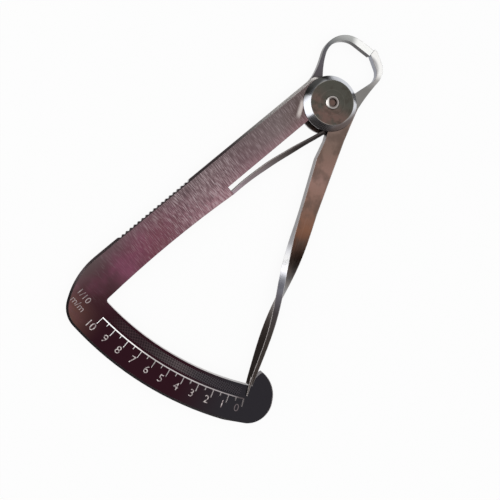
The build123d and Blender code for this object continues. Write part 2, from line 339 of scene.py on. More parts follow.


# Stainless spring sheet, ground across its length: short grey streaks on a mauve grey,
# painted nearly black on the polished arc as a painted dark reflection, where it turns away from the light
@dataclass(frozen=True)
class CrossGroundStainless(Finish):
    """Finish of the scale arm with its graduated arc and the left jaw."""

    name: str = "stainless_steel_cross_ground"
    leg_turn: float = 33.672
    leg_reach: float = 100.0
    # Painted reflection: the leg is painted darker from its middle toward the corner and the arc
    leg_stops: Stops = (
        (9.0, "#5D4E4B"), (17.0, "#736565"), (30.0, "#6B5559"), (42.0, "#7E666A"), (50.0, "#775D62"),
        (59.0, "#6B434B"), (66.0, "#6B3E4A"), (74.0, "#5B3441"), (80.0, "#4C3037"), (87.0, "#44292C"),
        (97.0, "#7A584A"),
    )
    leg_rough: float = 0.34
    # Pink cast in patches toward the corner
    rosy: Coat = Coat("#834B63", (0.42, 0.68), 0.5)
    rosy_cloud: Cloud = (11.0, 5.0)
    rosy_start: Limits = (44.0, 62.0)
    # Greyer toward the outer edge as painted shade, and pinker beside the slot, by distance out of the leg
    outer: Coat = Coat("#5E5655", (3.0, 9.5), 0.65)
    inner: Coat = Coat("#B27F8B", (4.0, -1.5), 0.4)
    inner_end: Limits = (58.0, 46.0)
    # Streaks of 120 grit are 0.1 mm apart and are drawn at 0.22 mm so that they show
    streak_pitch: float = 0.22
    streak_run: float = 2.6
    streak_depth: float = 0.012
    streak_rough: float = 0.46
    streak: Coat = Coat("#B3A3A6", (0.5, 0.66))
    streak_end: Limits = (80.0, 62.0)
    furrow: Coat = Coat("#4A3C40", (0.56, 0.36))
    # Stray scuffs from use, in patches, a third of a millimetre apart
    scuff_way: Place = (-0.87, 0.49, 0.0)
    scuff_pitch: float = 0.32
    scuff_run: float = 2.4
    scuff_detail: float = 1.0
    scuff: Coat = Coat("#B3A3A6", (0.56, 0.7))
    scuff_cloud: Cloud = (7.0, 0.0)
    scuff_patches: Limits = (0.34, 0.6)
    # Where the leg is scuffed most, and the shares of streaks and scuffs beside it and there
    scuffed_band: Band = (27.0, 40.0, 50.0, 64.0)
    streak_shares: Limits = (0.3, 0.62)
    scuff_shares: Limits = (0.08, 0.85)
    # Strip beside the disc and margin of the leg near the hub, both painted bright: the strip is a painted
    # reflection of the disc's bevel, the margin a painted highlight on the leg's edge
    sheen_tone: str = "#C4BBB7"
    strip_across: Band = (-8.9, -8.0, -7.6, -7.1)
    strip_along: Band = (-7.6, -5.2, -2.4, -0.8)
    strip_share: float = 0.95
    margin_width: float = 0.6
    margin_end: Limits = (24.0, 11.0)
    margin_share: float = 0.85
    # Arc and lobe, by distance from the pivot and by bearing, painted nearly black as a painted dark
    # reflection
    arc_tone: str = "#2A141B"
    arc_start: Limits = (77.0, 84.0)
    arc_end: Limits = (38.0, 28.0)
    arc_rough: float = 0.2
    arc_reach: float = 40.0
    lobe: Coat = Coat("#29272B", (14.0, 2.0))
    lobe_start: Limits = (60.0, 70.0)
    lobe_end: Limits = (16.0, 8.0)
    # Grooves, 0.12 mm below the face at 3.96 mm, whose floors brighten toward the leg
    groove_stops: Stops = (
        (0.9, "#524B4D"), (2.2, "#918B8C"), (6.0, "#A39C9D"), (12.0, "#BEB8B8"), (19.0, "#BAB4B3"),
        (22.5, "#F6F2F0"), (28.0, "#FFFFFF"),
    )
    groove_floor: Limits = (3.78, 3.82)
    groove_top: Limits = (3.92, 3.86)
    groove_start: Limits = (86.5, 87.0)
    # Hatching at 0.25 mm is drawn at 0.6 mm so that it shows
    hatch_pitch: float = 0.6
    hatch_radius: float = 85.95
    hatch_across: Band = (84.75, 84.85, 87.05, 87.15)
    hatch_along: Band = (0.9, 1.2, 26.0, 30.5)
    hatch_limits: Limits = (0.6, 0.95)
    hatch_dark: str = "#120D10"
    hatch_stops: Stops = (
        (2.0, "#48454A"), (10.0, "#575155"), (14.0, "#706466"), (18.0, "#594F51"), (22.0, "#4A393E"),
        (30.0, "#4B3539"),
    )
    # Walls, with the rim inside the arc painted bright as a painted highlight, and the bevel of the leg,
    # painted as a highlight near the hub and as a dark reflection near the arc
    wall_tone: str = "#4A4143"
    wall_rough: float = 0.22
    rim_glint_tone: str = "#A89A98"
    rim_across: Band = (83.9, 84.15, 84.25, 84.5)
    rim_along: Band = (0.5, 1.5, 31.0, 33.0)
    jaw_wall: Coat = Coat("#3B3839", (8.0, 12.0))
    slope_limits: Limits = (0.15, 0.4)
    bevel_tone: str = "#584D4F"
    hub_bevel: Coat = Coat("#E8E3DF", (34.0, 10.0))
    arc_bevel: Coat = Coat("#1C1719", (82.0, 92.0))
    # Jaw: painted brighter toward its tip, with a near-white painted highlight across it
    jaw_end: Limits = (50.0, 40.0)
    jaw_reach: float = 25.0
    jaw_stops: Stops = (
        (5.0, "#4B4648"), (10.0, "#59555A"), (16.0, "#5E5E61"), (18.8, "#8E8F8E"), (20.5, "#AEAFAD"),
        (22.0, "#A0A19F"),
    )
    jaw_shade: Coat = Coat("#4B4B4F", MARGIN_LIMITS, 0.7)
    jaw_shade_side: Place = (-0.95, 0.3, 0.0)
    jaw_shade_width: float = 0.5
    jaw_tip: Coat = Coat("#F2F2F0", (0.9, 3.4))
    # Edges painted bright in patches, as wear and as a painted highlight, and the side of the lobe that stops
    # the pointer
    edge: Coat = Coat("#C4BCBA", BRIGHT_EDGE_LIMITS, 0.55)
    edge_width: float = 0.14
    edge_cloud: Cloud = (3.0, 9.0)
    edge_patches: Limits = (0.3, 0.6)
    edge_rounding: float = 0.12
    stop: Coat = Coat("#C4BCBA", MARGIN_LIMITS, 0.8)
    stop_side: Place = (0.97, 0.25, 0.0)
    stop_width: float = 0.45

    def paint(self, skin: Skin) -> None:
        """Paints the leg, the arc, the walls and the jaw, then paints their edges bright, as wear and as a
        painted highlight.

        Args:
            skin: The sockets to paint with.
        """
        turn = math.radians(self.leg_turn)
        out_of_leg = (-math.cos(turn), math.sin(turn), 0.0)
        streaks = skin.grain(out_of_leg, self.streak_pitch, self.streak_run)
        flat = skin.mask(skin.upward, FLAT_LIMITS)
        on_arc = skin.meet(skin.mask(skin.radius, self.arc_start), skin.mask(skin.bearing, self.arc_end))
        on_lobe = skin.meet(skin.mask(skin.radius, self.lobe_start), skin.mask(skin.bearing, self.lobe_end))
        on_arc = skin.either(on_arc, on_lobe)
        body = self.leg(skin, streaks, out_of_leg)
        # Arc and lobe painted nearly black, a painted dark reflection
        body = skin.blend(on_arc, body, skin.coat(self.arc_tone, self.lobe, skin.bearing))
        body = self.hatched(skin, body)
        body = skin.blend(flat, self.walls(skin), body)
        body = skin.blend(skin.on_jaw(self.jaw_end, flat), body, self.jaw(skin))
        sunk = skin.meet(skin.mask(skin.level, self.groove_top), skin.mask(skin.radius, self.groove_start))
        groove = skin.meet(sunk, skin.mask(skin.level, self.groove_floor), flat)
        body = skin.blend(groove, body, skin.ramp(skin.bearing, self.arc_reach, self.groove_stops))
        # Edges painted bright in patches, as wear and as a painted highlight
        patches = skin.mask(skin.clouds(self.edge_cloud), self.edge_patches)
        unsunk = skin.between(sunk, 1.0, 0.0)
        body = skin.coat(body, self.edge, skin.at_edges(self.edge_width), patches, unsunk)
        body = skin.coat(body, self.stop, skin.toward(self.stop_width, self.stop_side), on_lobe)
        rough = skin.between(on_arc, self.leg_rough, self.arc_rough)
        rough = skin.between(streaks, rough, self.streak_rough)
        rough = skin.between(flat, self.wall_rough, rough)
        skin.shade(body, rough, skin.relief(streaks, self.streak_depth, self.edge_rounding))

    def leg(self, skin: Skin, streaks: Any, out_of_leg: Place) -> Any:
        """Colours the leg's face with its streaks and scuffs.

        Args:
            skin: The sockets to paint with.
            streaks: The grinding streaks.
            out_of_leg: Unit direction square to the leg, away from the pointer.

        Returns:
            The colour's socket.
        """
        outward = skin.measure(skin.point, out_of_leg)
        scuffed = skin.band(skin.radius, self.scuffed_band)
        streaked = skin.between(scuffed, *self.streak_shares)
        # Painted reflection: darker toward the corner and the arc
        body = skin.ramp(skin.radius, self.leg_reach, self.leg_stops)
        past = skin.mask(skin.radius, self.rosy_start)
        body = skin.coat(body, self.rosy, skin.clouds(self.rosy_cloud), past)
        # Painted shade toward the outer edge
        body = skin.coat(body, self.outer, outward)
        body = skin.coat(body, self.inner, outward, skin.mask(skin.radius, self.inner_end))
        body = skin.coat(body, self.furrow, streaks, streaked)
        body = skin.coat(body, self.streak, streaks, streaked, skin.mask(skin.radius, self.streak_end))
        scuffs = skin.grain(self.scuff_way, self.scuff_pitch, self.scuff_run, self.scuff_detail)
        patches = skin.mask(skin.clouds(self.scuff_cloud), self.scuff_patches)
        body = skin.coat(body, self.scuff, scuffs, patches, skin.between(scuffed, *self.scuff_shares))
        # Painted reflection of the disc beside it, and a painted highlight on the leg's margin near the hub
        strip = skin.meet(skin.band(skin.across, self.strip_across), skin.band(skin.along, self.strip_along))
        margin = skin.mask(skin.toward(self.margin_width, out_of_leg), MARGIN_LIMITS)
        margin = skin.meet(margin, skin.mask(skin.radius, self.margin_end), self.margin_share)
        sheen = skin.either(skin.meet(strip, self.strip_share), margin)
        return skin.blend(sheen, body, self.sheen_tone)

    def hatched(self, skin: Skin, body: Any) -> Any:
        """Draws two crossing sets of fine lines between the arc's inner edge and the baseline.

        Args:
            skin: The sockets to paint with.
            body: The colour below.

        Returns:
            The colour's socket.
        """
        length = skin.number("MULTIPLY", skin.bearing, math.radians(self.hatch_radius))
        waves = []
        for sign in ("ADD", "SUBTRACT"):
            lean = skin.number(sign, length, skin.radius)
            waves.append(skin.number("SINE", skin.number("MULTIPLY", lean, 2 * math.pi / self.hatch_pitch)))
        light = skin.ramp(skin.bearing, self.arc_reach, self.hatch_stops)
        crossed = skin.blend(skin.mask(skin.either(*waves), self.hatch_limits), self.hatch_dark, light)
        inside = skin.band(skin.radius, self.hatch_across)
        inside = skin.meet(inside, skin.band(skin.bearing, self.hatch_along))
        return skin.blend(inside, body, crossed)

    def walls(self, skin: Skin) -> Any:
        """Colours the upright walls and the bevel.

        Args:
            skin: The sockets to paint with.

        Returns:
            The colour's socket.
        """
        # Painted highlight on the bevel near the hub, and painted dark reflection near the arc
        bevel = skin.coat(self.bevel_tone, self.hub_bevel, skin.radius)
        bevel = skin.coat(bevel, self.arc_bevel, skin.radius)
        rim = skin.meet(skin.band(skin.radius, self.rim_across), skin.band(skin.bearing, self.rim_along))
        wall = skin.coat(skin.blend(rim, self.wall_tone, self.rim_glint_tone), self.jaw_wall, skin.along)
        return skin.blend(skin.mask(skin.upward, self.slope_limits), wall, bevel)

    def jaw(self, skin: Skin) -> Any:
        """Colours the jaw's face.

        Args:
            skin: The sockets to paint with.

        Returns:
            The colour's socket.
        """
        # Painted highlight: brighter toward the tip and near white across it
        body = skin.ramp(skin.along, self.jaw_reach, self.jaw_stops)
        body = skin.coat(body, self.jaw_shade, skin.toward(self.jaw_shade_width, self.jaw_shade_side))
        return skin.coat(body, self.jaw_tip, skin.across)


# The same sheet, ground along the arm: a warmer grey with long faint lines
@dataclass(frozen=True)
class LongGroundStainless(Finish):
    """Finish of the pointer arm, its blade and the right jaw."""

    name: str = "stainless_steel_long_ground"
    reach: float = 100.0
    # Painted shade: the face darkens from about 37 mm out and is nearly black on the blade
    stops: Stops = (
        (6.0, "#74635C"), (13.0, "#725E55"), (17.0, "#7A6158"), (22.0, "#866A62"), (26.0, "#80645A"),
        (31.0, "#765A4F"), (37.0, "#745140"), (42.0, "#5A4035"), (44.0, "#44332B"), (48.0, "#241D1A"),
        (58.0, "#14100F"), (64.0, "#0C0A09"),
    )
    # Painted reflections on the sides: a white band from about 44 to 50 mm out, dark beyond
    side_stops: Stops = (
        (12.0, "#757070"), (30.0, "#797575"), (38.0, "#868486"), (41.5, "#9E9DA0"), (44.0, "#E2E2E6"),
        (46.0, "#FFFFFF"), (49.5, "#F4F4F8"), (51.5, "#B8B9C0"), (54.0, "#83838C"), (57.0, "#5E5B60"),
        (62.0, "#3E393A"), (68.0, "#403A37"), (82.0, "#48403C"),
    )
    # Blade's twist, and where its normal counts as the ground face and as the underside
    twist_ends: Limits = (31.5, 72.0)
    twist_angle: float = 104.0
    face_limits: Limits = (0.6, 0.8)
    # Painted shade: the blade's underside is painted near black
    under: Coat = Coat("#0F0C0B", (0.6, 0.3))
    under_start: Limits = (26.0, 34.0)
    # The underside's glancing reflections are tinted darker, as painted shade
    shaded_glance_tint: str = "#DFD8D5"
    clean_tint: str = "#FFFFFF"
    # Jaw, with the bright rim round its bow, a painted highlight
    jaw_end: Limits = (26.0, 24.0)
    jaw_reach: float = 25.0
    jaw_stops: Stops = (
        (8.0, "#787876"), (10.0, "#929291"), (12.0, "#A6A6A4"), (15.0, "#B2B3B3"), (18.0, "#929296"),
    )
    jaw_shade: Coat = Coat("#54463F", MARGIN_LIMITS)
    jaw_shade_side: Place = (-0.95, -0.3, 0.0)
    jaw_shade_width: float = 0.35
    jaw_wall: Coat = Coat("#8C8E96", (4.0, 8.0))
    bow_rim: Coat = Coat("#F6F6F4", (3.6, 4.7))
    bow_rim_start: Limits = (11.0, 13.5)
    bow_middle: Place = (7.4, 13.3, 3.2)
    # Lines of 180 grit are 0.08 mm apart and are drawn at 0.25 mm so that they show
    line_pitch: float = 0.25
    line_run: float = 9.0
    line_depth: float = 0.004
    line_rough: Limits = (0.24, 0.4)
    line: Coat = Coat("#9A8880", (0.5, 0.85), 0.2)
    patch: Coat = Coat("#54463F", (0.4, 0.62), 0.65)
    patch_cloud: Cloud = (5.0, 2.0)
    # Edges are painted bright, in patches as polish and as a painted highlight, and all along the outer half
    # of the blade as a painted highlight
    edge: Coat = Coat("#D2CCCA", BRIGHT_EDGE_LIMITS, 0.85)
    edge_width: float = 0.36
    edge_cloud: Cloud = (3.0, 9.0)
    edge_patches: Limits = (0.3, 0.55)
    edge_start: Limits = (48.0, 56.0)
    edge_rounding: float = 0.15

    def blade_faces(self, skin: Skin) -> tuple[Any, Any]:
        """Follows the blade's twist to tell its ground face from its narrow side.

        Args:
            skin: The sockets to paint with.

        Returns:
            How far a point looks the way of the face, and of the side toward the scale.
        """
        limits = {"Value": skin.radius, "From Min": self.twist_ends[0], "From Max": self.twist_ends[1]}
        limits["To Max"] = math.radians(self.twist_angle)
        twist = add_node(skin.tree, "MapRange", {"interpolation_type": "SMOOTHSTEP"}, limits)
        inputs = {0: skin.normal, "Angle": twist.outputs[0]}
        about = {"rotation_type": "Y_AXIS", "invert": True}
        turned = add_node(skin.tree, "VectorRotate", about, inputs).outputs[0]
        return skin.measure(turned, (0.0, 0.0, 1.0)), skin.measure(turned, (-1.0, 0.0, 0.0))

    def paint(self, skin: Skin) -> None:
        """Paints the ground face, the sides, the bright edges and the jaw, with painted shade, painted
        reflections and painted highlights.

        Args:
            skin: The sockets to paint with.
        """
        lines = skin.grain((0.0, -1.0, 0.0), self.line_pitch, self.line_run)
        # Painted shade, nearly black along the blade
        body = skin.ramp(skin.radius, self.reach, self.stops)
        body = skin.coat(body, self.patch, skin.clouds(self.patch_cloud))
        body = skin.coat(body, self.line, lines)
        top, side = self.blade_faces(skin)
        flat = skin.mask(top, self.face_limits)
        blade = skin.mask(skin.radius, self.under_start)
        # Painted reflections on the sides
        wall = skin.ramp(skin.radius, self.reach, self.side_stops)
        wall = skin.coat(skin.coat(wall, self.jaw_wall, skin.along), self.under, side, blade)
        body = skin.blend(flat, wall, body)
        # Edges painted bright, in patches as polish and as a painted highlight, and on the outer half of the
        # blade as a painted highlight
        patches = skin.mask(skin.clouds(self.edge_cloud), self.edge_patches)
        brightened = skin.either(patches, skin.mask(skin.radius, self.edge_start))
        body = skin.coat(body, self.edge, skin.at_edges(self.edge_width), brightened)
        jaw = skin.ramp(skin.along, self.jaw_reach, self.jaw_stops)
        jaw = skin.coat(jaw, self.jaw_shade, skin.toward(self.jaw_shade_width, self.jaw_shade_side))
        distance = skin.vectors("DISTANCE", skin.point, self.bow_middle)["Value"]
        # Painted highlight on the rim round the bow
        jaw = skin.coat(jaw, self.bow_rim, distance, skin.mask(skin.along, self.bow_rim_start))
        body = skin.blend(skin.on_jaw(self.jaw_end, flat), body, jaw)
        # Painted shade on the underside, in its colour and in its glancing reflections
        hidden = skin.meet(skin.mask(side, self.under.limits), blade)
        glancing = skin.blend(flat, skin.blend(hidden, self.clean_tint, self.shaded_glance_tint), self.clean_tint)
        normal = skin.relief(lines, self.line_depth, self.edge_rounding)
        skin.shade(body, skin.between(lines, *self.line_rough), normal, glancing)


# Free-cutting steel turned on a lathe: rings about the axis on the face, a polished bevel
@dataclass(frozen=True)
class TurnedSteel(Finish):
    """Finish of the two hub discs."""

    face_tone: str = "#484741"
    # Painted warm reflection, lighter and browner toward one side of the face, in patches
    warm: Coat = Coat("#65504A", (-2.5, 3.5))
    warm_side: Place = (-0.3, -0.95, 0.0)
    warm_cloud: Cloud = (3.5, 3.0)
    warm_patches: Limits = (0.3, 0.6)
    stain_and_shade: Coat = Coat("#3A352F", (0.45, 0.7), 0.5)
    stain_cloud: Cloud = (1.6, 6.0)
    bevel_tone: str = "#CFD1D7"
    bevel_rough: float = 0.18
    # Side of the disc and coat of each painted shade on the bevel, which darkens it on three sides
    bevel_shades: tuple[tuple[Place, Coat], ...] = (
        ((0.1, -0.995, 0.0), Coat("#8B8687", (4.2, 6.2))),
        ((0.77, -0.64, 0.0), Coat("#5E524F", (4.5, 7.0))),
        ((-0.84, 0.54, 0.0), Coat("#464645", (4.9, 6.9))),
    )
    # Rubbed rim of the flat, which ends at a radius of 6.4
    rim: Coat = Coat("#B9B5B0", (0.4, 0.6), 0.35)
    rim_cloud: Cloud = (4.0, 1.0)
    rim_band: Band = (6.18, 6.3, 6.45, 6.52)
    # Feed marks of 0.08 mm are drawn at 0.22 mm so that they show
    ring_pitch: float = 0.22
    ring_depth: float = 0.004
    ring_rough: Limits = (0.26, 0.42)
    ring: Coat = Coat("#77716B", (0.45, 0.85), 0.3)

    def paint(self, skin: Skin) -> None:
        """Paints the face with its rings, the bevel and the rim between them.

        Args:
            skin: The sockets to paint with.
        """
        turns = skin.number("DIVIDE", skin.radius, self.ring_pitch)
        sweep = add_node(skin.tree, "CombineXYZ", {}, {0: turns, 1: skin.level})
        rings = skin.noise(sweep.outputs[0])
        flat = skin.mask(skin.upward, FLAT_LIMITS)
        # Painted warm reflection toward one side of the face
        patches = skin.mask(skin.clouds(self.warm_cloud), self.warm_patches)
        body = skin.coat(self.face_tone, self.warm, skin.measure(skin.point, self.warm_side), patches)
        body = skin.coat(body, self.stain_and_shade, skin.clouds(self.stain_cloud))
        body = skin.coat(body, self.ring, rings)
        # Painted shade on three sides of the bevel
        bevel = self.bevel_tone
        for side, stain_and_shade in self.bevel_shades:
            bevel = skin.coat(bevel, stain_and_shade, skin.measure(skin.point, side))
        body = skin.blend(flat, bevel, body)
        body = skin.coat(body, self.rim, skin.clouds(self.rim_cloud), skin.band(skin.radius, self.rim_band))
        rough = skin.between(flat, self.bevel_rough, skin.between(rings, *self.ring_rough))
        skin.shade(body, rough, skin.relief(skin.meet(rings, flat), self.ring_depth))


# Bright steel rivet, headed and polished: a light ring round a darker dimple, and a painted highlight on one
# side
@dataclass(frozen=True)
class PolishedRivetSteel(Finish):
    """Finish of the pivot rivet."""

    name: str = "steel_rivet_polished"
    reach: float = 2.2
    stops: Stops = (
        (0.45, "#5C4A44"), (0.9, "#51443F"), (1.25, "#5F5754"), (1.5, "#827B77"), (1.66, "#A19C99"),
        (1.9, "#8F8A87"),
    )
    # Painted highlight on one side of the head
    brightened: Coat = Coat("#F0ECE8", (0.9, 1.5), 0.85)
    glint_side: Place = (-0.95, -0.32, 0.0)
    scratch_cloud: Cloud = (0.35, 7.0)
    scratch_depth: float = 0.006
    scratch_rough: Limits = (0.12, 0.34)

    def paint(self, skin: Skin) -> None:
        """Paints the rings of the head and a painted highlight on one side.

        Args:
            skin: The sockets to paint with.
        """
        body = skin.ramp(skin.radius, self.reach, self.stops)
        # Painted highlight on one side of the head
        body = skin.coat(body, self.brightened, skin.measure(skin.point, self.glint_side))
        scratches = skin.clouds(self.scratch_cloud)
        rough = skin.between(scratches, *self.scratch_rough)
        skin.shade(body, rough, skin.relief(scratches, self.scratch_depth))


# Hardened spring strip, filed to a flat and a slope, each with its own painted tones for the light its lean
# takes:
# dark grey at the tip as painted shade by the hub, lighter to a satin mauve grey at the root; the edge on the
# leg's side is painted bright, as rubbing and as a painted highlight
@dataclass(frozen=True)
class FiledSpringSteel(Finish):
    """Finish of the leaf spring."""

    name: str = "spring_steel_filed"
    reach: float = 50.0
    # Painted shade: both ramps are dark near the hub, and the slope has its own painted tones
    face_stops: Stops = (
        (9.0, "#413C3A"), (12.0, "#4A4543"), (16.8, "#3A3534"), (22.4, "#524B4A"), (28.0, "#6C6361"),
        (33.0, "#7A7073"), (37.5, "#93828A"),
    )
    slope_stops: Stops = (
        (9.0, "#312C2B"), (16.8, "#332E2D"), (22.4, "#564F4E"), (28.0, "#756B6D"), (33.0, "#84777B"),
        (37.5, "#A08E94"),
    )
    toward_leg: Place = (-0.7, 0.71, 0.0)
    toward_pointer: Place = (0.7, -0.71, 0.0)
    slope_limits: Limits = (0.1, 0.25)
    # The edge on the leg's side, painted bright as rubbing and as a painted highlight
    edge: Coat = Coat("#B9B1AF", MARGIN_LIMITS)
    edge_width: float = 0.5
    edge_start: Limits = (12.0, 17.0)
    shade: Coat = Coat("#423C3D", MARGIN_LIMITS, 0.45)
    shade_width: float = 1.0
    wall: Coat = Coat("#4A4143", (0.5, 0.2))
    # Painted highlight on the wall that faces the leg, which is also rougher
    rubbed_and_lit_wall: Coat = Coat("#A59D9A", (0.8, 0.95))
    rubbed_wall_rough: float = 0.6
    line: Coat = Coat("#7C7270", (0.5, 0.8), 0.3)
    line_way: Place = (0.71, 0.7, 0.0)
    line_pitch: float = 0.2
    line_run: float = 6.0
    line_depth: float = 0.005
    line_rough: Limits = (0.22, 0.38)

    def paint(self, skin: Skin) -> None:
        """Paints the flat, the slope, the walls and the bright edge.

        Args:
            skin: The sockets to paint with.
        """
        lines = skin.grain(self.line_way, self.line_pitch, self.line_run)
        # Painted shade near the hub, with separate painted tones for the flat and the slope
        face = skin.ramp(skin.radius, self.reach, self.face_stops)
        slope = skin.ramp(skin.radius, self.reach, self.slope_stops)
        leaning = skin.mask(skin.measure(skin.normal, self.toward_pointer), self.slope_limits)
        body = skin.coat(skin.blend(leaning, face, slope), self.line, lines)
        body = skin.coat(body, self.wall, skin.upward)
        body = skin.coat(body, self.shade, skin.toward(self.shade_width, self.toward_leg))
        # Edge on the leg's side painted bright, as rubbing and as a painted highlight
        wear_and_glint = skin.mask(skin.radius, self.edge_start)
        body = skin.coat(body, self.edge, skin.toward(self.edge_width, self.toward_leg), wear_and_glint)
        outward = skin.measure(skin.normal, self.toward_leg)
        # Painted highlight on the wall facing the leg
        body = skin.coat(body, self.rubbed_and_lit_wall, outward)
        rough = skin.between(lines, *self.line_rough)
        rough = skin.between(skin.mask(outward, self.rubbed_and_lit_wall.limits), rough, self.rubbed_wall_rough)
        skin.shade(body, rough, skin.relief(lines, self.line_depth))


# Punched strokes in the sheet, painted pale as a painted highlight for the light that their flanks catch
@dataclass(frozen=True)
class PunchedStroke(Finish):
    """Finish of the figures and the unit mark."""

    name: str = "stainless_steel_punched"
    light_tone: str = "#CDC4C2"
    # Painted highlight, duller in patches
    dull: Coat = Coat("#7C7072", (0.6, 0.35))
    # The figure at zero lies beside the lobe, where the strokes are dull
    zero: Coat = Coat("#685F61", (3.6, 2.8))
    wear_and_glint_cloud: Cloud = (0.7, 11.0)
    wear_depth: float = 0.01
    wear_rough: Limits = (0.35, 0.55)

    def paint(self, skin: Skin) -> None:
        """Paints the strokes pale as a painted highlight, duller in patches.

        Args:
            skin: The sockets to paint with.
        """
        wear_and_glint = skin.clouds(self.wear_and_glint_cloud)
        body = skin.coat(self.light_tone, self.dull, wear_and_glint)
        body = skin.coat(body, self.zero, skin.bearing)
        skin.shade(body, skin.between(wear_and_glint, *self.wear_rough), skin.relief(wear_and_glint, self.wear_depth))


# Matt paper sweep: white to the eye and in reflections, with a soft contact shadow
@dataclass(frozen=True)
class PaperSweep(Finish):
    """Finish of the floor."""

    name: str = "paper_matt_white"
    tone: str = "#F4F4F4"
    glow: float = 0.93
    fibre_cloud: Cloud = (1.5, 0.0)
    fibre_depth: float = 0.02
    fibre_rough: Limits = (0.85, 0.95)

    def paint(self, skin: Skin) -> None:
        """Paints matt paper that glows for what looks at it or mirrors it.

        Args:
            skin: The sockets to paint with.
        """
        fibres = skin.clouds(self.fibre_cloud)
        inputs = {"Base Color": linear(self.tone), "Roughness": skin.between(fibres, *self.fibre_rough)}
        inputs["Normal"] = skin.relief(fibres, self.fibre_depth)
        paper = add_node(skin.tree, "BsdfPrincipled", {}, inputs)
        rays = add_node(skin.tree, "LightPath").outputs
        seen = skin.either(rays["Is Camera Ray"], rays["Is Glossy Ray"])
        share = skin.meet(skin.either(seen, rays["Is Transmission Ray"]), self.glow)
        light = add_node(skin.tree, "Emission", {}, {"Color": linear("#FFFFFF"), "Strength": 1.0})
        mixed = {0: share, 1: paper.outputs[0], 2: light.outputs[0]}
        sheet = add_node(skin.tree, "MixShader", {}, mixed)
        add_node(skin.tree, "OutputMaterial", {}, {0: sheet.outputs[0]})


def dress(item: bpy.types.Object, material: bpy.types.Material) -> None:
    """Gives a piece or a node one material.

    Args:
        item: The piece or node.
        material: The material.
    """
    item.data.materials.clear()
    item.data.materials.append(material)
    LOG.info("dressed %s with %s", item.name, material.name)


def add_object(name: str, data: bpy.types.ID) -> bpy.types.Object:
    """Puts a mesh, a text, a lamp or a camera into the scene.

    Args:
        name: The object's name.
        data: What it shows.

    Returns:
        The object.
    """
    item = bpy.data.objects.new(name, data)
    bpy.context.scene.collection.objects.link(item)
    return item


def mesh_piece(name: str, shape: bmesh.types.BMesh, body: str) -> bpy.types.Object:
    """Turns a finished bmesh into a piece that rides on a body.

    Args:
        name: The piece's name.
        shape: Its mesh, which is freed.
        body: The body that it rides on, or nothing for a piece that rides on none.

    Returns:
        The piece.
    """
    bmesh.ops.recalc_face_normals(shape, faces=shape.faces)
    mesh = bpy.data.meshes.new(name)
    shape.to_mesh(mesh)
    shape.free()
    piece = add_object(name, mesh)
    if body:
        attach(piece, body)
    LOG.info("built %s: %d faces", name, len(mesh.polygons))
    return piece


@dataclass
class ScaleArm:
    """Scale arm: its finish, and the figures and unit mark punched in the arc."""

    face_level: float = 3.96
    figure_height: float = 2.15
    stroke_steps: int = 6
    figure_rise: float = 0.02
    stroke_thinning: float = 0.004
    # Reading, bearing and radius of each figure, punched one by one
    figures: Rows = (
        ("0", 0.95, 90.8), ("1", 3.7, 90.9), ("2", 6.65, 91.05), ("3", 9.6, 91.05),
        ("4", 12.6, 91.2), ("5", 15.7, 91.3), ("6", 18.58, 91.3), ("7", 21.6, 91.3),
        ("8", 24.57, 91.5), ("9", 27.57, 91.5), ("10", 30.75, 91.5),
    )
    unit_rows: Rows = (("1/10", 35.3, 87.7), ("m/m", 35.0, 90.3))
    unit_height: float = 1.8
    finish: CrossGroundStainless = CrossGroundStainless()
    stroke: PunchedStroke = PunchedStroke()
    # The unit mark's painted highlight is duller
    dull_stroke: PunchedStroke = PunchedStroke("stainless_steel_punched_dull", light_tone="#A79A9A")

    def lettering(self, words: str, bearing: float, radius: float, height: float) -> bpy.types.Mesh:
        """Makes words as a thin mesh, with their tops toward the pivot.

        Args:
            words: The characters.
            bearing: Degrees from -Y toward the leg.
            radius: Distance of their middle from the pivot.
            height: Height of a figure.

        Returns:
            The mesh, in metres.
        """
        curve = bpy.data.curves.new("strokes", "FONT")
        curve.body = words
        curve.extrude = self.figure_rise / 2
        curve.offset = -self.stroke_thinning
        curve.resolution_u = self.stroke_steps
        holder = add_object("strokes", curve)
        bpy.context.view_layer.update()
        mesh = bpy.data.meshes.new_from_object(holder.evaluated_get(bpy.context.evaluated_depsgraph_get()))
        bpy.data.objects.remove(holder)
        corners = [v.co for v in mesh.vertices]
        low = Vector([min(c[i] for c in corners) for i in range(3)])
        high = Vector([max(c[i] for c in corners) for i in range(3)])
        size = height / (high.y - low.y)
        turn = math.radians(bearing)
        right, top = (math.cos(turn), -math.sin(turn)), (math.sin(turn), math.cos(turn))
        for vertex in mesh.vertices:
            across = (vertex.co.x - (low.x + high.x) / 2) * size
            up = (vertex.co.y - (low.y + high.y) / 2) * size - radius
            rise = self.figure_rise if vertex.co.z > 0 else -self.figure_rise
            place = (across * right[0] + up * top[0], across * right[1] + up * top[1], self.face_level + rise)
            vertex.co = Vector(place) * METRES
        return mesh

    def punch(self, name: str, rows: Rows, height: float) -> bpy.types.Object:
        """Builds one piece from several words.

        Args:
            name: The piece's name.
            rows: Words, bearing and radius of each.
            height: Height of a figure.

        Returns:
            The piece.
        """
        shape = bmesh.new()
        for words, bearing, radius in rows:
            shape.from_mesh(self.lettering(words, bearing, radius, height))
        return mesh_piece(name, shape, "scale_body")

    def build(self, nodes: dict[str, bpy.types.Object]) -> None:
        """Dresses the arm and adds its figures.

        Args:
            nodes: The frame's nodes by name.
        """
        dress(nodes["scale_arm"], self.finish.material())
        dress(self.punch("scale_figures", self.figures, self.figure_height), self.stroke.material())
        dress(self.punch("unit_mark", self.unit_rows, self.unit_height), self.dull_stroke.material())


@dataclass
class PointerArm:
    """Pointer arm with its twisted blade and the right jaw."""

    finish: LongGroundStainless = LongGroundStainless()

    def build(self, nodes: dict[str, bpy.types.Object]) -> None:
        """Dresses the arm."""
        dress(nodes["pointer_arm"], self.finish.material())


